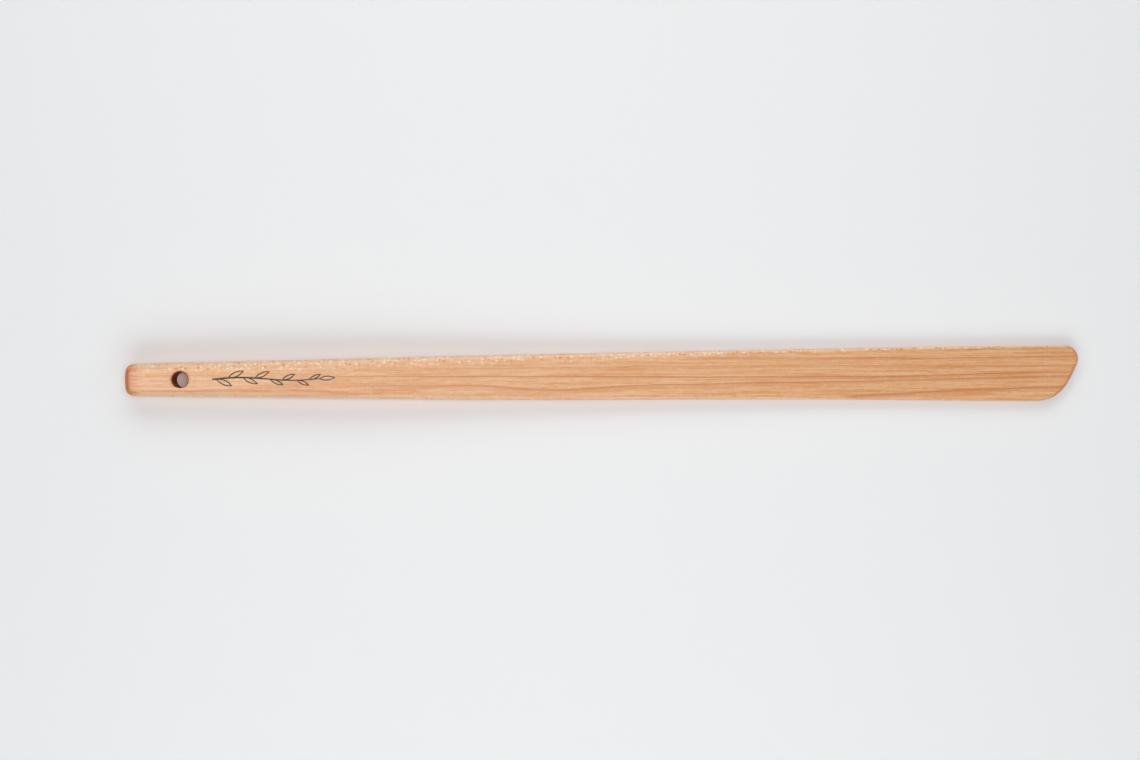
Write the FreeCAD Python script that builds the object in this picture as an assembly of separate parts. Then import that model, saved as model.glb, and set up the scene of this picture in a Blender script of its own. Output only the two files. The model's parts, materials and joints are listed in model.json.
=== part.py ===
"""A long wooden shoehorn: one carved stick of hard maple with a burned ornament.

Frame: millimetres. X runs from the handle end to the tip of the blade, Y runs
across, and Z points out of the front face. The origin is the middle of the
hanging hole. A distance called a run starts at the handle end.
"""
import FreeCAD, Part
import math
import os

Vector = FreeCAD.Vector

# Overall sizes
LENGTH = 559.0
HANDLE_THICKNESS = 16.0          # at the hanging hole
BLADE_HALF_WIDTH = 16.2
UNDERSIDE = -HANDLE_THICKNESS / 2

# Hanging hole
HOLE_RUN = 33.0
HOLE_RADIUS = 4.75
HOLE_EASING = 0.8                # rounding of both rims

# Long edges seen from the front: (run, distance from the X axis)
LEFT_EDGE = [(-6, 9.3), (105, 11.0), (220, 12.95), (340, 14.55), (456, 15.85)]
RIGHT_EDGE = [(456, 15.05), (350, 13.95), (220, 13.15), (110, 11.25), (-6, 9.2)]

# Handle end: nearly square, with two round corners
END_BULGE_RADIUS = 34.0
END_CORNER_RADIUS = 5.0

# Tip: a round corner on the left, then a slanted end that bellies into the right edge
TIP_CORNER_RADIUS = 7.7
TIP_SLANT = 23.0                 # degrees away from square
BELLY_RUN = 534.0                # where the belly meets the right edge
BELLY_START_PULL = 11.5          # lengths of the two control arms of the belly's curve
BELLY_END_PULL = 14.5

# Front face: (run, height above the underside, how far it falls toward the edges);
# a negative fall is the hollow of the blade
FRONT = [
    (-12, 15.7, 0.7),
    (HOLE_RUN, HANDLE_THICKNESS, 0.7),
    (105, 16.5, 0.6),
    (160, 14.8, 0.45),
    (220, 11.9, 0.25),
    (280, 9.7, 0.1),
    (340, 8.0, 0.0),
    (400, 6.6, -0.3),
    (456, 5.6, -0.5),
    (510, 5.0, -0.7),
    (575, 4.8, -0.8),
]

# Back face: flat, then lifting under the blade on one large arc
LIFT_RUN = 390.0
TIP_LIFT = 1.8

# Rounding of the long edges: one radius at the handle, less toward the tip
HANDLE_ROUNDING = 4.2
ROUNDING_START_RUN = 6.0         # where it starts to lessen
FRONT_TIP_ROUNDING = 1.0
BACK_TIP_ROUNDING = 1.7

# Burned ornament on the handle: a sprig of leaves drawn in lines
STEM_START_RUN = 52.0
STEM_LENGTH = 63.0
STEM_SWAY = 0.9
STEM_HALF_WIDTH = 0.5            # at its foot
STEM_TIP_HALF_WIDTH = 0.28
STEM_STEPS = 8                   # points along each side, less one
LEAF_PAIRS = 4
LEAF_START = 0.35                # the first pair's place, in spaces between pairs
LEAF_STAGGER = 0.22              # how far its left leaf is ahead and its right one behind
LEAF_LENGTH = 9.5
FIRST_LEAF_SIZE = 1.08           # shares of that length
LEAF_SHRINK = 0.09               # from pair to pair
LEAF_WIDTH = 2.9
LEAF_ANGLE = 24.0                # degrees away from the stem
END_LEAF_ANGLE = 4.0
END_LEAF_SHARE = 0.985           # its foot, as a share of the stem's length
LEAF_LINE = 0.62                 # width of the drawn line
GROOVE_DEPTH = 0.3
CHAR_RECESS = 0.08               # the char lies this far below the wood

SPARE = 30.0                     # how far construction solids reach past the body
HAIR = 0.01                      # a smaller extent counts as none


def place(run, across, up=0.0):
    """Returns the point at a run, a distance across and a height above the X axis."""
    return Vector(run - HOLE_RUN, across, up)


def turned(angle, length):
    """Returns a vector of one length, turned from +X toward +Y by an angle in degrees."""
    return Vector(math.cos(math.radians(angle)), math.sin(math.radians(angle)), 0) * length


def spline(points, start_tangent, end_tangent):
    """Returns a spline edge through points with the given tangents at its ends."""
    curve = Part.BSplineCurve()
    curve.interpolate(Points=points, InitialTangent=start_tangent, FinalTangent=end_tangent)
    return curve.toShape()


def plan_outline():
    """Returns the closed outline seen from the front, with a square handle end."""
    left = [place(run, offset) for run, offset in LEFT_EDGE]
    right = [place(run, -offset) for run, offset in RIGHT_EDGE]
    toward_tip = Vector(1, 0, 0)

    centre = place(LENGTH - TIP_CORNER_RADIUS, BLADE_HALF_WIDTH - TIP_CORNER_RADIUS)
    corner_start = centre + turned(90, TIP_CORNER_RADIUS)
    corner_end = centre + turned(-TIP_SLANT, TIP_CORNER_RADIUS)
    corner = Part.Arc(corner_start, centre + turned(45, TIP_CORNER_RADIUS), corner_end)

    belly_end = place(BELLY_RUN, -BLADE_HALF_WIDTH)
    belly = Part.BezierCurve()
    belly.setPoles([
        corner_end,
        corner_end + turned(-TIP_SLANT - 90, BELLY_START_PULL),
        belly_end + toward_tip * BELLY_END_PULL,
        belly_end,
    ])

    left_edge = spline(left + [corner_start], left[1] - left[0], toward_tip)
    right_edge = spline([belly_end] + right, toward_tip * -1, right[-1] - right[-2])
    end_line = Part.makeLine(right[-1], left[0])
    return Part.Wire([left_edge, corner.toShape(), belly.toShape(), right_edge, end_line])


def plan_prism():
    """Returns the outline drawn out along Z, with the handle end bulged and its corners round."""
    prism = Part.Face(plan_outline()).extrude(Vector(0, 0, 2 * SPARE))
    prism.translate(Vector(0, 0, -SPARE))
    disc_centre = place(END_BULGE_RADIUS, 0, -SPARE)
    disc = Part.makeCylinder(END_BULGE_RADIUS, 2 * SPARE, disc_centre)
    rest = Part.makeBox(LENGTH, 4 * SPARE, 2 * SPARE, disc_centre - Vector(0, 2 * SPARE, 0))
    prism = prism.common(disc.fuse(rest).removeSplitter())
    corners = [edge for edge in prism.Edges if is_end_corner(edge)]
    return prism.makeFillet(END_CORNER_RADIUS, corners)


def is_end_corner(edge):
    """Tells whether an edge is one of the two upright edges at the handle end."""
    box = edge.BoundBox
    upright = box.ZLength > SPARE and box.XLength < HAIR
    return upright and box.XMax < END_CORNER_RADIUS - HOLE_RUN


def front_section(run, height, fall):
    """Returns the blank's cross-section at one run: a block under a parabola."""
    fall_at_side = fall * (SPARE / BLADE_HALF_WIDTH) ** 2
    crest = UNDERSIDE + height
    left_top = place(run, SPARE, crest - fall_at_side)
    right_top = place(run, -SPARE, crest - fall_at_side)
    left_base = place(run, SPARE, UNDERSIDE - SPARE)
    right_base = place(run, -SPARE, UNDERSIDE - SPARE)
    parabola = Part.BezierCurve()
    parabola.setPoles([right_top, place(run, 0, crest + fall_at_side), left_top])
    return Part.Wire([
        parabola.toShape(),
        Part.makeLine(left_top, left_base),
        Part.makeLine(left_base, right_base),
        Part.makeLine(right_base, right_top),
    ])


def front_blank():
    """Returns a block whose upper side is the front face."""
    return Part.makeLoft([front_section(*station) for station in FRONT], True)


def back_prism():
    """Returns the space above the back face."""
    past_tip = LENGTH + SPARE
    reach = LENGTH - LIFT_RUN
    radius = (reach ** 2 + TIP_LIFT ** 2) / (2 * TIP_LIFT)

    def on_arc(run):
        drop = math.sqrt(radius ** 2 - (run - LIFT_RUN) ** 2)
        return place(run, -2 * SPARE, UNDERSIDE + radius - drop)

    start = place(-SPARE, -2 * SPARE, UNDERSIDE)
    arc = Part.Arc(on_arc(LIFT_RUN), on_arc((LIFT_RUN + past_tip) / 2), on_arc(past_tip))
    far_top = place(past_tip, -2 * SPARE, SPARE)
    near_top = place(-SPARE, -2 * SPARE, SPARE)
    wire = Part.Wire([
        Part.makeLine(start, on_arc(LIFT_RUN)),
        arc.toShape(),
        Part.makeLine(on_arc(past_tip), far_top),
        Part.makeLine(far_top, near_top),
        Part.makeLine(near_top, start),
    ])
    return Part.Face(wire).extrude(Vector(0, 4 * SPARE, 0))


def rounding_at(vertex, tip_rounding):
    """Returns the radius of a long edge's rounding at a vertex of that edge."""
    run = vertex.X + HOLE_RUN
    share = (run - ROUNDING_START_RUN) / (BELLY_RUN - ROUNDING_START_RUN)
    share = min(max(share, 0.0), 1.0)
    return HANDLE_ROUNDING + (tip_rounding - HANDLE_ROUNDING) * share


def with_round_rims(block):
    """Returns the block with the rims of its front and back faces rounded."""
    document = FreeCAD.newDocument("rounding")
    sharp = document.addObject("Part::Feature", "sharp")
    sharp.Shape = block
    radii = []
    for number, edge in enumerate(sharp.Shape.Edges, start=1):
        ends = edge.Vertexes
        square_across = edge.BoundBox.XLength < HAIR
        upright = square_across and edge.BoundBox.YLength < HAIR
        across_back = square_across and edge.BoundBox.YLength > BLADE_HALF_WIDTH
        if upright or across_back:
            continue
        if is_above_middle(edge):
            pair = [rounding_at(vertex, FRONT_TIP_ROUNDING) for vertex in ends]
        else:
            # the back rim runs against its edges, so its radii are given last one first
            pair = [rounding_at(vertex, BACK_TIP_ROUNDING) for vertex in reversed(ends)]
        radii.append((number, pair[0], pair[1]))
    rounded = document.addObject("Part::Fillet", "rounded")
    rounded.Base = sharp
    rounded.Edges = radii
    document.recompute()
    return rounded.Shape.Solids[0]


def is_above_middle(edge):
    """Tells whether a rim edge belongs to the front face, above the upright wall."""
    middle = edge.valueAt((edge.FirstParameter + edge.LastParameter) / 2)
    return middle.z > UNDERSIDE / 2


def with_hanging_hole(body):
    """Returns the body drilled through at the origin, with both rims eased."""
    drill = Part.makeCylinder(HOLE_RADIUS, 2 * SPARE, Vector(0, 0, -SPARE))
    drilled = body.cut(drill)
    rims = [edge for edge in drilled.Edges if is_hole_rim(edge)]
    return drilled.makeFillet(HOLE_EASING, rims).Solids[0]


def is_hole_rim(edge):
    """Tells whether an edge runs round the hanging hole."""
    box = edge.BoundBox
    is_centred = abs(box.XMin + box.XMax) < HOLE_RADIUS
    is_wide = abs(box.XLength - 2 * HOLE_RADIUS) < HOLE_EASING
    return is_centred and is_wide and box.ZLength < HOLE_EASING


def stem_point(share, aside=0.0):
    """Returns a point of the sprig's stem, or a point beside it at that share of its length."""
    sway = STEM_SWAY * math.sin(2 * math.pi * share)
    return place(STEM_START_RUN + STEM_LENGTH * share, sway + aside)


def stem():
    """Returns the outline of the stem: a swaying line that narrows toward its tip."""
    sides = []
    for side in (1, -1):
        points = []
        for step in range(STEM_STEPS + 1):
            share = step / STEM_STEPS
            half_width = STEM_HALF_WIDTH + (STEM_TIP_HALF_WIDTH - STEM_HALF_WIDTH) * share
            points.append(stem_point(share, side * half_width))
        curve = Part.BSplineCurve()
        curve.interpolate(Points=points)
        sides.append(curve)
    left, right = sides
    return Part.Face(Part.Wire([
        left.toShape(),
        Part.makeLine(left.EndPoint, right.EndPoint),
        right.toShape(),
        Part.makeLine(right.StartPoint, left.StartPoint),
    ]))


def almond(foot, angle, length, width):
    """Returns a leaf shape between two arcs that meet at its foot and its point."""
    point = foot + turned(angle, length)
    middle = foot + turned(angle, length / 2)
    arcs = [
        Part.Arc(foot, middle + turned(angle + 90, width / 2), point).toShape(),
        Part.Arc(point, middle + turned(angle - 90, width / 2), foot).toShape(),
    ]
    return Part.Face(Part.Wire(arcs))


def leaf(foot, angle, length):
    """Returns the drawn line round one leaf."""
    width = LEAF_WIDTH * length / LEAF_LENGTH
    inset = LEAF_LINE * length / width / 2
    outside = almond(foot, angle, length, width)
    inside = almond(foot + turned(angle, inset), angle, length - 2 * inset, width - 2 * LEAF_LINE)
    return outside.cut(inside)


def sprig():
    """Returns the whole ornament as one flat shape drawn out along Z."""
    shapes = [stem(), leaf(stem_point(END_LEAF_SHARE), END_LEAF_ANGLE, LEAF_LENGTH)]
    for pair in range(LEAF_PAIRS):
        for side in (1, -1):
            share = (pair + LEAF_START + LEAF_STAGGER * side) / LEAF_PAIRS
            length = LEAF_LENGTH * (FIRST_LEAF_SIZE - LEAF_SHRINK * pair)
            shapes.append(leaf(stem_point(share), side * LEAF_ANGLE, length))
    prisms = [shape.extrude(Vector(0, 0, SPARE)) for shape in shapes]
    return prisms[0].multiFuse(prisms[1:])


def front_layer(body, top, bottom):
    """Returns the layer of a body between two depths below its front face, the largest one."""
    front_face = max(body.Faces, key=lambda face: face.Area)
    upper = front_face.translated(Vector(0, 0, -top))
    return upper.extrude(Vector(0, 0, top - bottom))


def main():
    """Writes the wooden body and the char of its ornament."""
    block = front_blank().common(back_prism()).common(plan_prism()).Solids[0]
    body = with_hanging_hole(with_round_rims(block))
    ornament = sprig()
    groove = ornament.common(front_layer(body, 0.0, GROOVE_DEPTH))
    char = ornament.common(front_layer(body, CHAR_RECESS, GROOVE_DEPTH))
    os.makedirs("parts", exist_ok=True)
    body.cut(groove).Solids[0].exportStep("parts/shoehorn_body.step")
    char.Solids[0].exportStep("parts/burned_ornament.step")


main()
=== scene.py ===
"""Looks of the long wooden shoehorn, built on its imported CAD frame.

The wood is one closed skin of quads that follows the CAD body: an outline, two rounded
rims, a front face, a back face and an eased hanging hole. The burned ornament lies in a
groove that is cut into the skin. The wood's grain is a solid texture:
growth rings about a pith line outside the stick, rays that run from that line, and end
grain where the surface cuts across the fibres. Metres throughout.
"""

import json
import math

import bmesh
import bpy
import numpy as np
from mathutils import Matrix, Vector

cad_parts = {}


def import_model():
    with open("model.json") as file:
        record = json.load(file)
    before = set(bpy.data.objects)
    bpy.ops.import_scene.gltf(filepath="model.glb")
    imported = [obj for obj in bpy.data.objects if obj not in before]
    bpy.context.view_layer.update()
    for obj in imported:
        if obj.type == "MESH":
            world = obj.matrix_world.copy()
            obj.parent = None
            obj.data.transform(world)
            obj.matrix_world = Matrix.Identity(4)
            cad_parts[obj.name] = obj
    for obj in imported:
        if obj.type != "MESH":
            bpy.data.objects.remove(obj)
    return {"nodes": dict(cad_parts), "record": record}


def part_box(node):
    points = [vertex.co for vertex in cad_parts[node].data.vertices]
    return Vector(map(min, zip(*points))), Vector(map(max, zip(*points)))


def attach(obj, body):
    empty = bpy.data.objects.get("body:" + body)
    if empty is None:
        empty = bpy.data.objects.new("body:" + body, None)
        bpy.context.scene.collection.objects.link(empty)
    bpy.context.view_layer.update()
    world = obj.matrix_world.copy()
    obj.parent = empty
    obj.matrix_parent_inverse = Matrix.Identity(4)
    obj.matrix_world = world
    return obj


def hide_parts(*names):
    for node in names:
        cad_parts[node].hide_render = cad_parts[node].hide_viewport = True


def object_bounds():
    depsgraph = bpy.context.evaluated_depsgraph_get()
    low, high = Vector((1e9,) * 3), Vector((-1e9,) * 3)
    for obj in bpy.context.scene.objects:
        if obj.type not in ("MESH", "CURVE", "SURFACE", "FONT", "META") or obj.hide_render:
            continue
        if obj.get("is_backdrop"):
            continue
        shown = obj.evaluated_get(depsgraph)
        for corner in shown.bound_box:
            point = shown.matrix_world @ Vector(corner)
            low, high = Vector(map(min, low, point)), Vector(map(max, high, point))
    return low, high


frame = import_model()
cad_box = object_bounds()

MM = 0.001
BODY_LOW, BODY_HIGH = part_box("shoehorn_body")
HOLE = next(mount for mount in frame["record"]["mounts"] if mount["name"] == "hanging_hole")
HOLE_RADIUS = HOLE["dims"]["r_mm"] * MM
END_X = BODY_LOW.x                       # handle end; the hanging hole is at the origin
TIP_X = BODY_HIGH.x
HALF_WIDTH = BODY_HIGH.y
UNDERSIDE = BODY_LOW.z

# Shape of the wood, the same design as the CAD body's. A run is a distance from the handle end.
# The lists of places are in millimetres.
HOLE_EASING = 0.8 * MM
LEFT_EDGE = [(-6, 9.3), (105, 11.0), (220, 12.95), (340, 14.55), (456, 15.85)]          # (run, offset)
RIGHT_EDGE = [(-6, 9.2), (110, 11.25), (220, 13.15), (350, 13.95), (456, 15.05)]
END_BULGE_RADIUS = 34.0 * MM
BULGE_X = END_X + END_BULGE_RADIUS
END_CORNER_RADIUS = 5.0 * MM
END_FLARE = 0.016                        # radians by which the long edges open at the handle end
TIP_CORNER_RADIUS = 7.7 * MM
TIP_SLANT = math.radians(23)
BELLY_RUN = 534.0 * MM
BELLY_START_PULL = 11.5 * MM
BELLY_END_PULL = 14.5 * MM
# Front face: (run, height of its middle, how far its edges fall below the middle)
FRONT = [(-12, 15.7, 0.7), (33, 16.0, 0.7), (105, 16.5, 0.6), (160, 14.8, 0.45), (220, 11.9, 0.25),
         (280, 9.7, 0.1), (340, 8.0, 0.0), (400, 6.6, -0.3), (456, 5.6, -0.5), (510, 5.0, -0.7),
         (575, 4.8, -0.8)]
LIFT_RUN = 390.0 * MM
TIP_LIFT = 1.8 * MM
FRONT_ROUNDING = [(6, 4.2), (534, 1.0)]  # (run, radius)
BACK_ROUNDING = [(6, 4.2), (534, 1.7)]
GROOVE_DEPTH = 0.3 * MM                  # of the burned ornament
GROOVE_TOP = 0.6                         # the ornament's points less deep than this share are its top

# Fineness of the skin
ROWS = 400                               # along the stick
COLUMNS = 16                             # across a face
RIM_STEPS = 8                            # over a rounded rim
WALL_STEPS = 6
EASING_STEPS = 5
HOLE_RINGS = (0.35, 0.7, 1.0)            # places of the rings from the hole's patch in to its rim
HOLE_BLOCK = 7.3 * MM                    # half length of the patch that holds the hole
OUTLINE_STEP = 0.2 * MM
ARC_STEPS = 8                            # the fewest points on an arc
BELLY_STEPS = 200
SIDE_STARTS = (-130, -58, 45, 130)       # outward angles where the skin's four sides start, in degrees
ROW_LENGTH = 1.5 * MM                    # a row is spent on this length of outline
ROW_TURN = math.radians(6)               # and on this turn of it
END_FADE = 12                            # power by which an end's curve fades along a face
WELD = 0.001 * MM
SHARP_ANGLE = math.radians(40)


# ---------------------------------------------------------------- shape of the wood

def spline(knots, start_slope=None, end_slope=None):
    """Returns a cubic function through (x, y) knots, natural where an end slope isn't given."""
    x, y = np.array(knots, float).T
    gap, count = np.diff(x), len(x)
    matrix, right = np.zeros((count, count)), np.zeros(count)
    for i in range(1, count - 1):
        matrix[i, i - 1:i + 2] = 1 / gap[i - 1], 2 / gap[i - 1] + 2 / gap[i], 1 / gap[i]
        right[i] = 3 * ((y[i] - y[i - 1]) / gap[i - 1] ** 2 + (y[i + 1] - y[i]) / gap[i] ** 2)
    for end, inner, slope in ((0, 1, start_slope), (-1, -2, end_slope)):
        if slope is None:
            matrix[end, end], matrix[end, inner] = 2, 1
            right[end] = 3 * (y[inner] - y[end]) / (x[inner] - x[end])
        else:
            matrix[end, end], right[end] = 1, slope
    slopes = np.linalg.solve(matrix, right)

    def value(at):
        at = np.asarray(at, float)
        i = np.clip(np.searchsorted(x, at) - 1, 0, count - 2)
        t = (at - x[i]) / gap[i]
        return ((2 * t**3 - 3 * t**2 + 1) * y[i] + (3 * t**2 - 2 * t**3) * y[i + 1]
                + gap[i] * ((t**3 - 2 * t**2 + t) * slopes[i] + (t**3 - t**2) * slopes[i + 1]))
    return value


def knots_in_metres(knots, end_run=None, end_value=None):
    """Returns (run, value) knots in millimetres as (x, value) in metres, with one more if given."""
    moved = [(run * MM + END_X, value * MM) for run, value in knots]
    if end_run is not None:
        moved.append((end_run + END_X, end_value))
    return moved


def first_slope(knots):
    """Returns the slope between the first two knots."""
    return (knots[1][1] - knots[0][1]) / (knots[1][0] - knots[0][0])


LEFT_KNOTS = knots_in_metres(LEFT_EDGE, TIP_X - TIP_CORNER_RADIUS - END_X, HALF_WIDTH)
RIGHT_KNOTS = knots_in_metres(RIGHT_EDGE, BELLY_RUN, HALF_WIDTH)
left_offset = spline(LEFT_KNOTS, first_slope(LEFT_KNOTS), 0.0)
right_offset = spline(RIGHT_KNOTS, first_slope(RIGHT_KNOTS), 0.0)
crest = spline(knots_in_metres([(run, height) for run, height, _ in FRONT]))
fall = spline(knots_in_metres([(run, drop) for run, _, drop in FRONT]))


def front_height(x, y):
    """Returns the height of the front face."""
    return UNDERSIDE + crest(x) - fall(x) * (y / HALF_WIDTH) ** 2


def back_height(x, y):
    """Returns the height of the back face: flat, then lifting on a large arc."""
    reach = TIP_X - END_X - LIFT_RUN
    radius = (reach ** 2 + TIP_LIFT ** 2) / (2 * TIP_LIFT)
    along = np.maximum(x - END_X - LIFT_RUN, 0)
    return UNDERSIDE + radius - np.sqrt(radius ** 2 - along ** 2) + 0 * y


def rounding(x, stations):
    """Returns the radius of a rim's rounding, straight between its stations."""
    runs, radii = np.array(stations).T * MM
    return np.interp(x - END_X, runs, radii)


def arc(centre, radius, start, end):
    """Returns the points of an arc, angles in radians."""
    count = max(ARC_STEPS, int(abs(end - start) * radius / OUTLINE_STEP))
    angles = np.linspace(start, end, count)
    return np.array(centre) + radius * np.stack([np.cos(angles), np.sin(angles)], 1)


def edge_line(offset, start, end, side):
    """Returns the points of a long edge between two places along X."""
    x = np.linspace(start, end, int(abs(end - start) / OUTLINE_STEP))
    return np.stack([x, side * offset(x)], 1)


def end_corner(offset):
    """Returns the centre of the handle end's corner on one side, and the angle where it meets the bulge."""
    across = float(offset(END_X + END_CORNER_RADIUS)) - END_CORNER_RADIUS
    reach = END_BULGE_RADIUS - END_CORNER_RADIUS
    back = math.sqrt(reach ** 2 - across ** 2)
    return BULGE_X - back, across, math.atan2(across, -back)


def belly():
    """Returns the points of the curve from the right edge to the tip's corner."""
    centre = np.array([TIP_X - TIP_CORNER_RADIUS, HALF_WIDTH - TIP_CORNER_RADIUS])
    last = centre + TIP_CORNER_RADIUS * np.array([math.cos(TIP_SLANT), -math.sin(TIP_SLANT)])
    back = np.array([-math.sin(TIP_SLANT), -math.cos(TIP_SLANT)])
    first = np.array([BELLY_RUN + END_X, -HALF_WIDTH])
    poles = [first, first + [BELLY_END_PULL, 0], last + back * BELLY_START_PULL, last]
    t = np.linspace(0, 1, BELLY_STEPS)[:, None]
    weights = [(1 - t) ** 3, 3 * t * (1 - t) ** 2, 3 * t ** 2 * (1 - t), t ** 3]
    return sum(weight * pole for weight, pole in zip(weights, poles))


def outline():
    """Returns the outline, anticlockwise from the handle end's right corner, and its outward angles."""
    right_x, right_y, right_turn = end_corner(right_offset)
    left_x, left_y, left_turn = end_corner(left_offset)
    tip_centre = (TIP_X - TIP_CORNER_RADIUS, HALF_WIDTH - TIP_CORNER_RADIUS)
    pieces = [
        arc((right_x, -right_y), END_CORNER_RADIUS, -right_turn, -math.pi / 2 - END_FLARE),
        edge_line(right_offset, right_x, BELLY_RUN + END_X, -1),
        belly(),
        arc(tip_centre, TIP_CORNER_RADIUS, -TIP_SLANT, math.pi / 2),
        edge_line(left_offset, tip_centre[0], left_x, 1),
        arc((left_x, left_y), END_CORNER_RADIUS, math.pi / 2 + END_FLARE, left_turn),
        arc((BULGE_X, 0), END_BULGE_RADIUS, left_turn, 2 * math.pi - right_turn),
    ]
    points = np.concatenate(pieces)
    step = np.linalg.norm(points - np.roll(points, 1, 0), axis=1)
    points = points[step > OUTLINE_STEP / 4]
    chord = np.roll(points, -1, 0) - np.roll(points, 1, 0)
    return points, np.unwrap(np.arctan2(-chord[:, 0], chord[:, 1]))


def perimeter():
    """Returns the skin's outline points, side after side, with their inward normals."""
    points, angles = outline()
    angles -= 2 * math.pi * round((angles[0] + 0.75 * math.pi) / (2 * math.pi))
    corners = [int(np.argmin(abs(angles - math.radians(start)))) for start in SIDE_STARTS]
    steps = np.linalg.norm(np.roll(points, -1, 0) - points, axis=1)
    turns = abs(np.roll(angles, -1) - angles) % (2 * math.pi)
    turns = np.minimum(turns, 2 * math.pi - turns)
    weight = steps / ROW_LENGTH + turns / ROW_TURN
    picked = []
    for side, count in enumerate((ROWS, COLUMNS, ROWS, COLUMNS)):
        start, end = corners[side], corners[(side + 1) % 4]
        if end <= start:
            end += len(points)
        numbers = np.arange(start, end + 1)
        reach = np.concatenate([[0], np.cumsum(weight[numbers[:-1] % len(points)])])
        picked.append(np.interp(np.arange(count) * reach[-1] / count, reach, numbers))
    at = np.concatenate(picked)
    low, share = np.floor(at).astype(int), (at % 1)[:, None]
    here, after = points[low % len(points)], points[(low + 1) % len(points)]
    chosen = here * (1 - share) + after * share
    chord = np.roll(points, -1, 0) - np.roll(points, 1, 0)
    chord = chord[low % len(points)] * (1 - share) + chord[(low + 1) % len(points)] * share
    inward = np.stack([-chord[:, 1], chord[:, 0]], 1) / np.linalg.norm(chord, axis=1)[:, None]
    return chosen, inward


class Skin:
    """Vertices and quads of a closed surface, gathered ring by ring."""

    def __init__(self):
        self.points, self.faces = [], []

    def add(self, plan, height):
        """Adds points and returns their numbers."""
        start = len(self.points)
        self.points += [(x, y, z) for (x, y), z in zip(plan, height)]
        return list(range(start, len(self.points)))

    def bridge(self, lower, upper):
        """Joins two anticlockwise rings with quads, which face outward when upper is above."""
        for i, j in zip(range(len(lower)), list(range(1, len(lower))) + [0]):
            self.faces.append((lower[i], lower[j], upper[j], upper[i]))


def rim_rings(skin, plan, inward, surface, stations, side):
    """Adds a rounded rim's rings from the wall to a face; side is 1 for the front, -1 for the back."""
    radius = rounding(plan[:, 0], stations)
    rings = []
    for step in range(RIM_STEPS + 1):
        turn = math.pi / 2 * step / RIM_STEPS
        moved = plan + inward * (radius * (1 - math.cos(turn)))[:, None]
        height = surface(moved[:, 0], moved[:, 1]) - side * radius * (1 - math.sin(turn))
        rings.append(skin.add(moved, height))
    return rings, moved


def face_patch(skin, ring, plan, surface, side):
    """Fills a face inside its innermost ring, and returns the last ring at the hanging hole."""
    end = 2 * ROWS + COLUMNS
    right, left = plan[:ROWS + 1], plan[ROWS + COLUMNS:end + 1][::-1]
    tip, handle = plan[ROWS:ROWS + COLUMNS + 1], np.concatenate([plan[end:], plan[:1]])[::-1]
    numbers = np.zeros((ROWS + 1, COLUMNS + 1), int)
    numbers[:, 0] = ring[:ROWS + 1]
    numbers[:, -1] = ring[ROWS + COLUMNS:end + 1][::-1]
    numbers[-1, :] = ring[ROWS:ROWS + COLUMNS + 1]
    numbers[0, :] = (ring[end:] + ring[:1])[::-1]
    block = np.where((right[:, 0] > -HOLE_BLOCK) & (right[:, 0] < HOLE_BLOCK))[0]
    first, last = block[0], block[-1]
    v = np.linspace(0, 1, COLUMNS + 1)[1:-1, None]
    for i in range(1, ROWS):
        if first < i < last:
            continue
        u = i / ROWS
        row = (1 - v) * right[i] + v * left[i]
        row += (1 - u) ** END_FADE * (handle[1:-1] - (1 - v) * handle[0] - v * handle[-1])
        row += u ** END_FADE * (tip[1:-1] - (1 - v) * tip[0] - v * tip[-1])
        numbers[i, 1:-1] = skin.add(row, surface(row[:, 0], row[:, 1]))
    for i in range(ROWS):
        if first <= i < last:
            continue
        for j in range(COLUMNS):
            quad = (numbers[i, j], numbers[i + 1, j], numbers[i + 1, j + 1], numbers[i, j + 1])
            skin.faces.append(quad[::side])
    around = list(numbers[first:last, 0]) + list(numbers[last, :-1])
    around += list(numbers[last:first:-1, -1]) + list(numbers[first, :0:-1])
    return hole_rings(skin, around, surface, side)


def hole_rings(skin, around, surface, side):
    """Fills between a closed ring of points and the hanging hole, down over its eased rim."""
    outer = np.array([skin.points[n][:2] for n in around])
    count = len(around)
    angles = np.unwrap(np.arctan2(outer[:, 1], outer[:, 0]))
    even = angles.mean() + (np.arange(count) - (count - 1) / 2) * 2 * math.pi / count
    circle = np.stack([np.cos(even), np.sin(even)], 1)
    rim = circle * (HOLE_RADIUS + HOLE_EASING)
    rings = [around]
    for share in HOLE_RINGS:
        between = outer * (1 - share) + rim * share
        rings.append(skin.add(between, surface(between[:, 0], between[:, 1])))
    for step in range(1, EASING_STEPS + 1):
        turn = math.pi / 2 * step / EASING_STEPS
        moved = circle * (HOLE_RADIUS + HOLE_EASING * (1 - math.sin(turn)))
        drop = side * HOLE_EASING * (1 - math.cos(turn))
        rings.append(skin.add(moved, surface(moved[:, 0], moved[:, 1]) - drop))
    for outside, inside in zip(rings, rings[1:]):
        skin.bridge(*((outside, inside) if side > 0 else (inside, outside)))
    return rings[-1]


def between_rings(skin, lower, upper, steps):
    """Joins two rings of the same plan with a number of upright steps."""
    low, high = (np.array([skin.points[n] for n in ring]) for ring in (lower, upper))
    rings = [lower]
    for step in range(1, steps):
        level = low + (high - low) * step / steps
        rings.append(skin.add(level[:, :2], level[:, 2]))
    rings.append(upper)
    for a, b in zip(rings, rings[1:]):
        skin.bridge(a, b)


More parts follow.
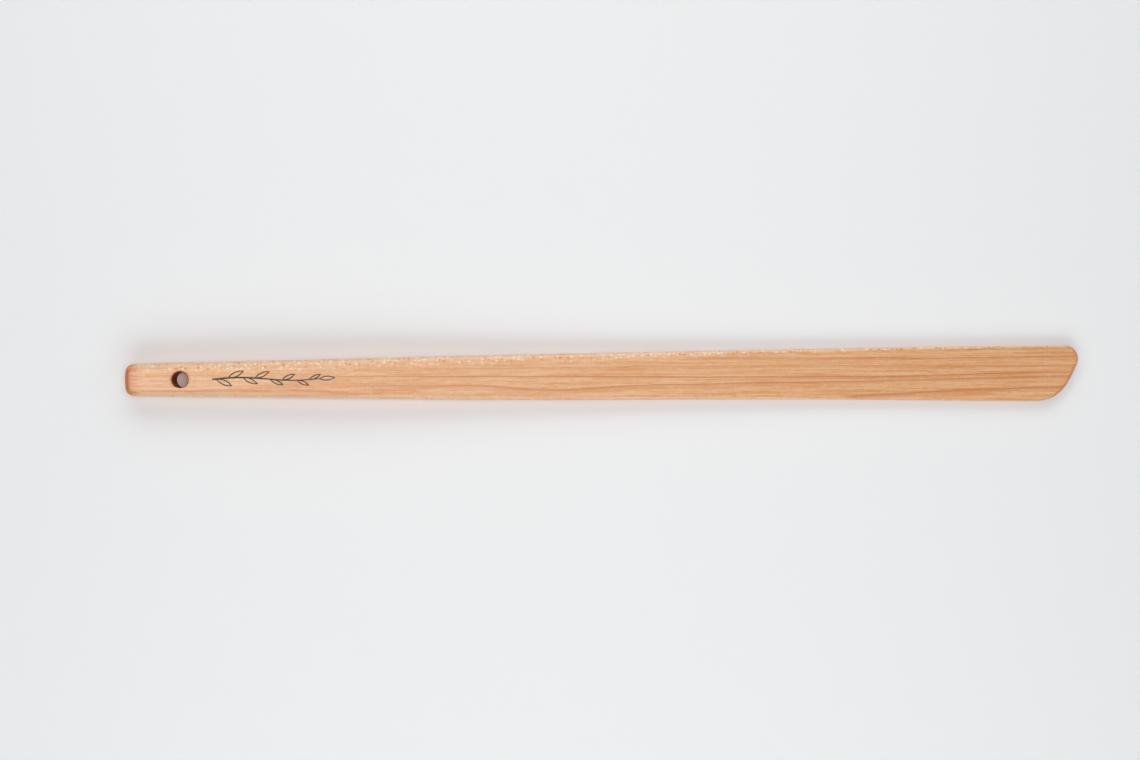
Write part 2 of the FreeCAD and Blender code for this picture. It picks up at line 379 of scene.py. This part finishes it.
def wooden_body():
    """Builds the wood as one closed skin."""
    skin = Skin()
    plan, inward = perimeter()
    front_rings, front_plan = rim_rings(skin, plan, inward, front_height, FRONT_ROUNDING, 1)
    back_rings, back_plan = rim_rings(skin, plan, inward, back_height, BACK_ROUNDING, -1)
    for outside, inside in zip(front_rings, front_rings[1:]):
        skin.bridge(outside, inside)
    for outside, inside in zip(back_rings, back_rings[1:]):
        skin.bridge(inside, outside)
    between_rings(skin, back_rings[0], front_rings[0], WALL_STEPS)
    front_hole = face_patch(skin, front_rings[-1], front_plan, front_height, 1)
    back_hole = face_patch(skin, back_rings[-1], back_plan, back_height, -1)
    between_rings(skin, front_hole, back_hole, WALL_STEPS)
    mesh = bpy.data.meshes.new("shoehorn_wood")
    faces = [tuple(int(number) for number in face) for face in skin.faces]
    mesh.from_pydata(skin.points, [], faces)
    mesh.polygons.foreach_set("use_smooth", [True] * len(mesh.polygons))
    mesh.update()
    body = bpy.data.objects.new("shoehorn_wood", mesh)
    bpy.context.scene.collection.objects.link(body)
    return body


def cut_groove(body, ornament):
    """Cuts the ornament's groove: the CAD ornament, carried up through the front face."""
    shape = bmesh.new()
    shape.from_mesh(ornament.data)
    bmesh.ops.remove_doubles(shape, verts=shape.verts, dist=WELD)
    for vertex in shape.verts:
        if vertex.co.z > front_height(vertex.co.x, vertex.co.y) - GROOVE_DEPTH * GROOVE_TOP:
            vertex.co.z += GROOVE_DEPTH
    mesh = bpy.data.meshes.new("groove_cutter")
    shape.to_mesh(mesh)
    shape.free()
    cutter = bpy.data.objects.new("groove_cutter", mesh)
    bpy.context.scene.collection.objects.link(cutter)
    cut = body.modifiers.new("groove", "BOOLEAN")
    cut.operation = "DIFFERENCE"
    cut.object = cutter
    cut.solver = "EXACT"
    result = body.evaluated_get(bpy.context.evaluated_depsgraph_get())
    body.data = bpy.data.meshes.new_from_object(result)
    body.modifiers.clear()
    bpy.data.objects.remove(cutter)
    body.data.set_sharp_from_angle(angle=SHARP_ANGLE)


# ---------------------------------------------------------------- materials

PITH_Y = -20.0 * MM                      # the growth rings' centre line, beside the stick's middle
PITH_HEIGHT = 32.0 * MM                  # and above its front face
SPAN = 24.0 * MM                         # reach of the material's curves to either side of zero
WANDER = 1.2 * MM                        # of the growth rings
WANDER_PACE = (28, 90)                   # its turns per metre, along and across the stick

WOOD_LIGHT = (0.775, 0.455, 0.25, 1)
WOOD_MIDDLE = (0.73, 0.375, 0.165, 1)
WOOD_DEEP = (0.655, 0.26, 0.07, 1)
LATE_WOOD = (0.53, 0.14, 0.022, 1)
# Pale colour of ray flecks, also laid over the quartered band on the rim as part painted light
RAY_FLECK_AND_RIM_LIGHT = (0.92, 0.66, 0.45, 1)
RAY_DARK = (0.72, 0.25, 0.06, 1)
# Painted light: a paler colour laid on rims that face sideways, in place of the light they catch
PAINTED_RIM_LIGHT = (0.97, 0.69, 0.50, 1)
END_GRAIN = (0.58, 0.175, 0.045, 1)
# Dark hole wall: partly soaked end grain, partly painted shade inside the hanging hole
HOLE_WALL_SOAK_AND_SHADE = (0.21, 0.08, 0.05, 1)
WARM_WALL = (0.85, 0.42, 0.27, 1)        # what the hole's wall passes on
WARM_BOUNCE = (0.60, 0.10, 0.03, 1)      # what deepens the light that the wood passes on
WARM_BOUNCE_SHARE = 0.4
CHAR_DARK = (0.022, 0.015, 0.011, 1)
CHAR_PALE = (0.075, 0.045, 0.03, 1)
FLOOR_WHITE = (0.89, 0.89, 0.895, 1)

# Noises in the wood: (size along the fibre, round the pith and out from it) in millimetres,
# detail and roughness.
NOISES = {
    "cloud": ((45, 5, 3), 3.0, 0.5),
    "streak": ((60, 1.8, 1.1), 5.0, 0.7),
    "thread": ((30, 1.0, 1.0), 1.0, 0.5),
    "fibre": ((5, 0.9, 0.9), 3.0, 0.6),
    "vessel": ((40, 0.9, 0.9), 4.0, 0.7),
}

# Layers of the wood's colour, laid over the light wood in this order: the noise, its values
# where the layer starts and where it is full, the layer's strength and its colour.
LAYERS = [
    ("streak", 0.36, 0.56, 1.0, WOOD_MIDDLE),
    ("cloud", 0.35, 0.75, 0.4, WOOD_DEEP),
    ("streak", 0.51, 0.64, 0.9, WOOD_DEEP),
    ("thread", 0.55, 0.70, 0.75, WOOD_DEEP),
    ("thread", 0.45, 0.30, 0.7, WOOD_LIGHT),
    ("fibre", 0.48, 0.72, 0.6, WOOD_DEEP),
    ("fibre", 0.50, 0.28, 0.6, WOOD_LIGHT),
]

# Ray flecks. The surface counts as quartered where it faces round the rings by more than these.
QUARTERED_AT_HANDLE = 0.57
QUARTERED_AT_TIP = 0.71
QUARTERED_RISE = 0.15
LEAST_QUARTERED = 0.08                   # the share that is left on wood that isn't quartered
FLECK_SIZE = (2.6, 1.9, 3.0)             # along the fibre, round the pith and out from it
FLECK_EDGE = (0.25, 0.6)                 # distances from its middle where a fleck fades and ends
LIGHT_FLECKS = (0.45, 0.6, 0.9)          # a cell's value where they start and are full, strength
DARK_FLECKS = (0.4, 0.3, 0.95)
# Paling of the quartered band on the rounded rim: partly the paler look of quartered wood, partly painted
# light on that rim
QUARTERED_PALING_AND_RIM_LIGHT = 0.3

# Cut ends
HANDLE_END = (END_X * 0.8, END_X * 0.4)  # where the look of the handle's end fades out
CUT_ACROSS = (0.15, 0.9)                 # how far the surface faces along the fibres: start, full
SOAK_AT_HANDLE = 14.0 * MM               # how far oil soaks along the longest vessels
SOAK_ELSEWHERE = 3.0 * MM
SHORTEST_SOAK = 0.25                     # share of the longest
SOAK_VESSELS = (0.38, 0.6)               # values of the vessel noise for the shortest and longest
SOAK_FADE = (0.25, 1.1)                  # shares of the soak where it starts to fade and ends
END_GRAIN_AT_HANDLE = 0.95
END_GRAIN_AT_TIP = 0.8
WALL_START = 0.5 * MM                    # the drilled wall's look starts this far outside it
WALL_FULL = 0.1 * MM

# Surface of the wood
RIM_LIGHT_PAINTING = (0.1, 0.8, 0.25)           # painted light on the rims: how far they face sideways where it starts and in full, strength
RELIEF_HEIGHT = 0.05 * MM
RELIEF_STRENGTH = 0.25
FIBRE_RELIEF = 0.7
LATE_WOOD_RELIEF = -0.3
ROUGHNESS = (0.2, 0.8, 0.36, 0.5)        # low and high values of the fibre noise, and theirs
WALL_ROUGHNESS = 0.4                     # what the drilled wall adds
GLOSS = 0.5
NO_GLOSS = 0.02                          # in the drilled wall, and in the light passed on

# Late wood lines on the front face: (run, offset) places in millimetres, (run, how dark) places,
# how wide, and how far the darker band reaches on the line's inner side.
GROWTH_LINES = {
    "outer": ([(0, 14.0), (300, 15.3), (480, 13.0), (530, 11.8), (560, 11.6)],
              [(0, 0), (500, 0), (530, 0.7), (560, 0.8)], 0.30, 0.6),
    "upper": ([(0, 9.4), (180, 9.9), (300, 10.2), (400, 9.9), (480, 9.2), (515, 9.3), (560, 9.9)],
              [(0, 0), (300, 0.15), (390, 0.8), (560, 0.8)], 0.34, 1.4),
    "upper_middle": ([(0, 4.2), (120, 4.6), (254, 5.4), (356, 5.7), (515, 4.4), (560, 4.2)],
                     [(0, 0.1), (150, 0.2), (250, 0.7), (350, 0.6), (560, 0.7)], 0.30, 0.9),
    "middle": ([(0, 1.8), (121, 1.2), (254, 0.2), (380, -1.0), (456, -1.1), (515, 0.3), (560, 0.6)],
               [(0, 0.1), (90, 0.3), (160, 0.9), (450, 1.0), (560, 0.85)], 0.36, 0.8),
    "lower_middle": ([(0, -3.2), (132, -4.2), (205, -5.0), (254, -7.4), (291, -5.8), (362, -4.6),
                      (450, -3.6), (515, -2.3), (560, -1.6)],
                     [(0, 0.1), (100, 0.3), (160, 0.75), (290, 1.0), (450, 0.85), (560, 0.8)], 0.36, 1.1),
    "lower": ([(0, -6.6), (90, -6.4), (150, -9.0), (254, -14.0), (380, -15.5), (425, -14.0),
               (455, -12.2), (480, -10.8), (515, -9.4), (560, -8.6)],
              [(0, 0.1), (80, 0.4), (120, 0.5), (160, 0.1), (418, 0.1), (430, 1.0), (560, 0.8)],
              0.34, 1.0),
}
BAND_STRENGTH = 0.45
BAND_END = 0.1 * MM
LINE_BREAKS = (0.25, 0.7, 1.0, 0.7)      # values of the fibre noise, and how much of a line they leave

CHAR_GRAINS = 2500.0                     # per metre


class Nodes:
    """One material's node graph, with short calls for what the materials repeat."""

    def __init__(self, name):
        self.material = bpy.data.materials.new(name)
        self.material.use_nodes = True
        self.tree = self.material.node_tree
        self.tree.nodes.clear()

    def add(self, kind, *values, **settings):
        """Adds a node, sets it up and joins its inputs in order."""
        node = self.tree.nodes.new("ShaderNode" + kind)
        for name, value in settings.items():
            setattr(node, name, value)
        for socket, value in zip(node.inputs, values):
            self.join(value, socket)
        return node

    def set(self, node, inputs):
        """Sets a node's inputs by name."""
        for name, value in inputs.items():
            self.join(value, node.inputs[name])

    def join(self, value, socket):
        """Feeds a socket from another node or from a plain value."""
        if isinstance(value, bpy.types.NodeSocket):
            self.tree.links.new(value, socket)
        elif value is not None:
            socket.default_value = value

    def math(self, operation, *values):
        """Returns the result of a Math node."""
        return self.add("Math", *values, operation=operation).outputs[0]

    def ease(self, value, low, high, to_low=0.0, to_high=1.0):
        """Returns a value carried smoothly from one range to another."""
        settings = {"interpolation_type": "SMOOTHSTEP"}
        return self.add("MapRange", value, low, high, to_low, to_high, **settings).outputs[0]

    def vector(self, x, y, z):
        """Returns a vector of three values."""
        return self.add("CombineXYZ", x, y, z).outputs[0]

    def noise(self, place, detail=2.0, roughness=0.5, scale=1.0):
        """Returns a noise value between 0 and 1."""
        node = self.add("TexNoise")
        self.set(node, {"Vector": place, "Scale": scale, "Detail": detail, "Roughness": roughness})
        return node.outputs[0]

    def bump(self, strength, height):
        """Returns a normal that follows a height."""
        node = self.add("Bump")
        self.set(node, {"Strength": strength, "Distance": RELIEF_HEIGHT, "Height": height})
        return node.outputs[0]

    def mix(self, share, first, second):
        """Returns a mix of two colours."""
        node = self.add("Mix", data_type="RGBA")
        for number, value in ((0, share), (6, first), (7, second)):
            self.join(value, node.inputs[number])
        return node.outputs[2]

    def curve(self, value, points, low, high):
        """Returns a smooth curve through points, which lie between low and high on both axes."""
        node = self.add("FloatCurve")
        line = node.mapping.curves[0]
        spread_x, spread_y = high[0] - low[0], high[1] - low[1]
        for number, (x, y) in enumerate(points):
            place = (x - low[0]) / spread_x, (y - low[1]) / spread_y
            if number < 2:
                line.points[number].location = place
            else:
                line.points.new(*place)
        node.mapping.update()
        self.join(self.ratio(value, low[0], spread_x), node.inputs["Value"])
        return self.math("MULTIPLY_ADD", node.outputs[0], spread_y, low[1])

    def ratio(self, value, start, spread):
        """Returns how far a value is along a spread."""
        return self.math("DIVIDE", self.math("SUBTRACT", value, start), spread)

    def finish(self, inputs):
        """Ends the graph with a shader of these inputs and returns the material."""
        shader = self.add("BsdfPrincipled")
        self.set(shader, inputs)
        self.tree.links.new(shader.outputs[0], self.add("OutputMaterial").inputs[0])
        return self.material


def hypotenuse(nodes, a, b):
    """Returns the root of the sum of two squares."""
    squares = nodes.math("ADD", nodes.math("MULTIPLY", a, a), nodes.math("MULTIPLY", b, b))
    return nodes.math("SQRT", squares)


class Grain:
    """Where a point lies in the wood: along the fibres, round the pith line and out from it."""

    def __init__(self, nodes):
        self.nodes = nodes
        place = nodes.add("TexCoord").outputs["Object"]
        self.x, self.y, z = nodes.add("SeparateXYZ", place).outputs
        sideways, depth = from_pith(nodes, self.x, self.y, z)
        self.radius = hypotenuse(nodes, sideways, depth)
        self.turn = nodes.math("ARCTAN2", sideways, depth)
        self.arc_length = nodes.math("MULTIPLY", self.turn, self.radius)
        self.normal = nodes.add("SeparateXYZ", nodes.add("NewGeometry").outputs["Normal"]).outputs

    def stretched(self, size):
        """Returns the place in units of a size: along the fibre, round the pith and out from it."""
        axes = zip((self.x, self.arc_length, self.radius), size)
        return self.nodes.vector(*(self.nodes.math("DIVIDE", axis, unit * MM) for axis, unit in axes))

    def noise(self, name):
        """Returns one of the wood's noises."""
        size, detail, roughness = NOISES[name]
        return self.nodes.noise(self.stretched(size), detail, roughness)

    def quartered(self):
        """Returns how nearly the surface faces round the rings, which is where rays show as flecks."""
        nodes = self.nodes
        sideways = nodes.math("MULTIPLY", self.normal[1], nodes.math("COSINE", self.turn))
        upward = nodes.math("MULTIPLY", self.normal[2], nodes.math("SINE", self.turn))
        facing = nodes.math("ABSOLUTE", nodes.math("ADD", sideways, upward))
        start = nodes.ease(self.x, END_X, TIP_X, QUARTERED_AT_HANDLE, QUARTERED_AT_TIP)
        full = nodes.math("ADD", start, QUARTERED_RISE)
        return nodes.ease(facing, start, full, LEAST_QUARTERED, 1.0)


def maple():
    """Oiled maple: late wood lines, fine fibres, ray flecks and darker end grain."""
    nodes = Nodes("oiled_maple")
    grain = Grain(nodes)
    fibre = grain.noise("fibre")
    dark = growth_lines(nodes, grain.x, grain.radius)
    colour = streaked(nodes, grain, fibre, dark)
    colour = flecked(nodes, grain, colour)
    # Painted light: rims that face sideways are made paler, in place of the light they catch.
    sideways = nodes.math("ABSOLUTE", grain.normal[1])
    start, full, strength = RIM_LIGHT_PAINTING
    colour = nodes.mix(nodes.ease(sideways, start, full, 0.0, strength), colour, PAINTED_RIM_LIGHT)
    colour, drilled = cut_ends(nodes, grain, colour)
    bounced = nodes.add("LightPath").outputs["Is Diffuse Ray"]
    colour = nodes.mix(nodes.math("MULTIPLY", bounced, WARM_BOUNCE_SHARE), colour, WARM_BOUNCE)
    colour = nodes.mix(nodes.math("MULTIPLY", bounced, drilled), colour, WARM_WALL)
    relief = nodes.math("ADD", nodes.math("MULTIPLY", fibre, FIBRE_RELIEF),
                        nodes.math("MULTIPLY", dark, LATE_WOOD_RELIEF))
    rough = nodes.math("ADD", nodes.ease(fibre, *ROUGHNESS),
                       nodes.math("MULTIPLY", drilled, WALL_ROUGHNESS))
    gloss = nodes.ease(nodes.math("MAXIMUM", drilled, bounced), 0.0, 1.0, GLOSS, NO_GLOSS)
    return nodes.finish({"Base Color": colour, "Roughness": rough, "Specular IOR Level": gloss,
                         "Normal": nodes.bump(RELIEF_STRENGTH, relief)})


def streaked(nodes, grain, fibre, dark):
    """Returns the colour of plain wood with its streaks and late wood lines."""
    noises = {name: grain.noise(name) for name in ("cloud", "streak", "thread")}
    noises["fibre"] = fibre
    colour = WOOD_LIGHT
    for name, start, full, strength, layer in LAYERS:
        colour = nodes.mix(nodes.ease(noises[name], start, full, 0.0, strength), colour, layer)
    broken = nodes.ease(fibre, *LINE_BREAKS)
    return nodes.mix(nodes.math("MULTIPLY", dark, broken), colour, LATE_WOOD)


def flecked(nodes, grain, colour):
    """Returns a colour with light and dark ray flecks on quartered wood."""
    quartered = grain.quartered()
    # The quartered band is made paler: partly quartered wood's own look, partly painted light on the rim.
    colour = nodes.mix(nodes.math("MULTIPLY", quartered, QUARTERED_PALING_AND_RIM_LIGHT), colour, RAY_FLECK_AND_RIM_LIGHT)
    cells = nodes.add("TexVoronoi", feature="F1", voronoi_dimensions="3D")
    nodes.set(cells, {"Vector": grain.stretched(FLECK_SIZE), "Scale": 1.0})
    kind = nodes.add("SeparateXYZ", cells.outputs["Color"]).outputs[0]
    spot = nodes.math("MULTIPLY", nodes.ease(cells.outputs["Distance"], *FLECK_EDGE, 1.0, 0.0), quartered)
    for (start, full, strength), tint in ((LIGHT_FLECKS, RAY_FLECK_AND_RIM_LIGHT), (DARK_FLECKS, RAY_DARK)):
        fleck = nodes.math("MULTIPLY", spot, nodes.ease(kind, start, full, 0.0, strength))
        colour = nodes.mix(fleck, colour, tint)
    return colour


def cut_ends(nodes, grain, colour):
    """Returns a colour darkened where fibres are cut across and soaked, and how much is drilled wall, whose
    dark colour is partly soaked end grain and partly painted shade.
    """
    cut_across = nodes.ease(nodes.math("ABSOLUTE", grain.normal[0]), *CUT_ACROSS)
    reach = nodes.add("Attribute", attribute_name="fibre_reach").outputs["Fac"]
    longest = nodes.ease(grain.x, *HANDLE_END, SOAK_AT_HANDLE, SOAK_ELSEWHERE)
    shortest = nodes.math("MULTIPLY", longest, SHORTEST_SOAK)
    soak = nodes.add("MapRange", grain.noise("vessel"), *SOAK_VESSELS, shortest, longest).outputs[0]
    soaked = nodes.ease(nodes.math("DIVIDE", reach, soak), *SOAK_FADE, 1.0, 0.0)
    end_grain = nodes.math("MAXIMUM", cut_across, soaked)
    strength = nodes.ease(grain.x, HANDLE_END[1], TIP_X, END_GRAIN_AT_HANDLE, END_GRAIN_AT_TIP)
    colour = nodes.mix(nodes.math("MULTIPLY", end_grain, strength), colour, END_GRAIN)
    from_hole = hypotenuse(nodes, grain.x, grain.y)
    drilled = nodes.ease(from_hole, HOLE_RADIUS + WALL_START, HOLE_RADIUS + WALL_FULL)
    # The drilled wall's dark colour is partly soaked end grain and partly painted shade in the hole.
    return nodes.mix(drilled, colour, HOLE_WALL_SOAK_AND_SHADE), drilled


def from_pith(nodes, x, y, z):
    """Returns how far a point is from the pith line, sideways and down, with a slight wander."""
    heights = [(run * MM + END_X, height * MM + UNDERSIDE) for run, height, _ in FRONT]
    low, high = heights[0][0], heights[-1][0]
    front = nodes.curve(x, heights, (low, -SPAN), (high, SPAN))
    below = nodes.math("SUBTRACT", front, z)
    turns = [nodes.math("MULTIPLY", axis, pace) for axis, pace in zip((x, y), WANDER_PACE)]
    wander = nodes.noise(nodes.vector(*turns, 0.0), 3.0)
    wander = nodes.math("MULTIPLY", nodes.math("SUBTRACT", wander, 0.5), WANDER)
    sideways = nodes.math("ADD", nodes.math("SUBTRACT", y, PITH_Y), wander)
    return sideways, nodes.math("ADD", below, PITH_HEIGHT)


def growth_lines(nodes, x, radius):
    """Returns how much late wood there is: narrow lines, each with a softer band on its inner side."""
    total = None
    for points, strengths, width, reach in GROWTH_LINES.values():
        places = [(run * MM + END_X, offset * MM) for run, offset in points]
        offset = nodes.curve(x, places, (END_X, -SPAN), (TIP_X, SPAN))
        line = hypotenuse(nodes, nodes.math("SUBTRACT", offset, PITH_Y), PITH_HEIGHT)
        past = nodes.math("SUBTRACT", radius, line)
        core = nodes.ease(nodes.math("ABSOLUTE", past), 0.0, width * MM, 1.0, 0.0)
        band = nodes.math("MULTIPLY", nodes.ease(past, -reach * MM, 0.0, 0.0, BAND_STRENGTH),
                          nodes.ease(past, 0.0, BAND_END, 1.0, 0.0))
        shades = [(run * MM + END_X, dark) for run, dark in strengths]
        strength = nodes.curve(x, shades, (END_X, 0), (TIP_X, 1))
        both = nodes.math("MULTIPLY", nodes.math("MAXIMUM", core, band), strength)
        total = both if total is None else nodes.math("MAXIMUM", total, both)
    return total


def note_fibre_reach(body):
    """Stores how far each point is from where its fibre is cut: at either end or at the hanging hole."""
    points = np.zeros(len(body.data.vertices) * 3, np.float32)
    body.data.vertices.foreach_get("co", points)
    x, y = points.reshape(-1, 3)[:, 0], points.reshape(-1, 3)[:, 1]
    edge, _ = outline()
    tip = edge[(edge[:, 0] > END_X + LIFT_RUN) & (np.gradient(edge[:, 1]) > 0)]
    order = np.argsort(tip[:, 1])
    tip_end = np.interp(y, tip[order, 1], tip[order, 0])
    half_chord = np.sqrt(np.maximum(HOLE_RADIUS ** 2 - y ** 2, 0))
    at_hole = np.where(half_chord > 0, abs(abs(x) - half_chord), TIP_X - END_X)
    reach = np.minimum(np.minimum(x - END_X, tip_end - x), at_hole)
    attribute = body.data.attributes.new("fibre_reach", "FLOAT", "POINT")
    attribute.data.foreach_set("value", np.maximum(reach, 0).astype(np.float32))


def charred():
    """Burned wood of the ornament: brown-black, dull and a little uneven."""
    nodes = Nodes("charred_wood")
    place = nodes.add("TexCoord").outputs["Object"]
    uneven = nodes.noise(place, 4.0, 0.6, CHAR_GRAINS)
    colour = nodes.mix(nodes.ease(uneven, 0.3, 0.8), CHAR_DARK, CHAR_PALE)
    return nodes.finish({"Base Color": colour, "Roughness": 0.75, "Normal": nodes.bump(0.5, uneven)})


def white_floor():
    """The matt white floor."""
    return Nodes("white_floor").finish(
        {"Base Color": FLOOR_WHITE, "Roughness": 0.9, "Specular IOR Level": 0.0})


# ---------------------------------------------------------------- stage

CAMERA_X = 227.2 * MM
CAMERA_Y = -1.9 * MM
CAMERA_ABOVE_FLOOR = 1152 * MM
CAMERA_TURN = math.radians(-0.42)
CAMERA_LENS = 61.6
FLOOR_SIZE = 12.0

NEUTRAL = (1.0, 1.0, 1.0)
WARM = (1.0, 0.9, 0.8)
SKY = (0.6, 0.85, 1.0, 1)
SKY_STRENGTH = 0.09

# Lights: name, place, size, power and colour
LIGHTS = [
    ("overhead_handle", (0.10, 0.04, 1.24), (0.25, 0.25), 2.55, NEUTRAL),
    ("overhead_blade", (0.40, 0.04, 1.24), (0.25, 0.25), 1.95, WARM),
    ("left_handle", (-0.35, 1.0, 0.74), (0.6, 0.9), 2.9, NEUTRAL),
    ("left_middle", (0.25, 1.0, 0.74), (0.6, 0.9), 3.05, NEUTRAL),
    ("left_blade", (0.85, 1.0, 0.74), (0.6, 0.9), 2.15, NEUTRAL),
    ("right_handle", (-0.35, -1.0, 0.74), (0.6, 0.9), 3.1, NEUTRAL),
    ("right_middle", (0.25, -1.0, 0.74), (0.6, 0.9), 3.25, NEUTRAL),
    ("right_blade", (0.85, -1.0, 0.74), (0.6, 0.9), 2.45, NEUTRAL),
    ("behind", (-1.0, 0.0, 0.9), (0.5, 0.5), 2.1, NEUTRAL),
    ("ahead", (1.5, 0.0, 0.9), (0.5, 0.5), 2.2, NEUTRAL),
]
# Cards: name, place, size and power
SHEEN_CARDS = [
    ("sheen_handle", (-0.5, 0.0, 1.24), (0.8, 0.5), 10.5),
    ("sheen_left", (0.24, 0.9, 0.5), (1.2, 0.7), 7.0),
    ("sheen_right", (0.24, -0.9, 0.5), (1.2, 0.7), 4.0),
]


def floor():
    """Adds the floor that the stick rests on."""
    mesh = bpy.data.meshes.new("floor")
    half = FLOOR_SIZE / 2
    corners = [(-half, -half), (half, -half), (half, half), (-half, half)]
    mesh.from_pydata([(x, y, UNDERSIDE) for x, y in corners], [], [(0, 1, 2, 3)])
    sheet = bpy.data.objects.new("floor", mesh)
    bpy.context.scene.collection.objects.link(sheet)
    mesh.materials.append(white_floor())
    sheet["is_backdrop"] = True


def soft_light(name, place, size, power, colour):
    """Adds a soft light that faces the middle of the stick."""
    data = bpy.data.lights.new(name, "AREA")
    data.shape = "ELLIPSE"
    data.size, data.size_y = size
    data.energy = power
    data.color = colour
    lamp = bpy.data.objects.new(name, data)
    bpy.context.scene.collection.objects.link(lamp)
    lamp.location = place
    aim = Vector((CAMERA_X, 0, 0)) - Vector(place)
    lamp.rotation_euler = aim.to_track_quat("-Z", "Y").to_euler()
    lamp.visible_camera = False
    return lamp


def sheen_card(name, place, size, power):
    """Adds a bright card that shows only in the wood's sheen, and casts no light of its own."""
    card = soft_light(name, place, size, power, NEUTRAL)
    card.visible_diffuse = False


def camera():
    """Adds the camera, straight above the stick."""
    data = bpy.data.cameras.new("camera")
    data.lens = CAMERA_LENS
    eye = bpy.data.objects.new("camera", data)
    bpy.context.scene.collection.objects.link(eye)
    eye.location = (CAMERA_X, CAMERA_Y, UNDERSIDE + CAMERA_ABOVE_FLOOR)
    eye.rotation_euler = (0, 0, CAMERA_TURN)
    bpy.context.scene.camera = eye


def world():
    """Sets an even pale world."""
    sky = bpy.data.worlds.new("pale_world")
    sky.use_nodes = True
    background = sky.node_tree.nodes["Background"]
    background.inputs["Color"].default_value = SKY
    background.inputs["Strength"].default_value = SKY_STRENGTH
    bpy.context.scene.world = sky


# ---------------------------------------------------------------- the whole

ornament = frame["nodes"]["burned_ornament"]
body = wooden_body()
cut_groove(body, ornament)
note_fibre_reach(body)
body.data.materials.append(maple())
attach(body, "root")
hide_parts("shoehorn_body")

ornament.data.materials.clear()
ornament.data.materials.append(charred())

floor()
camera()
for light in LIGHTS:
    soft_light(*light)
for card in SHEEN_CARDS:
    sheen_card(*card)
world()
bpy.context.scene.view_settings.view_transform = "Standard"

boxes = {"cad": cad_box, "visual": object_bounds()}
sizes = {name: [list(corner) for corner in box] for name, box in boxes.items()}
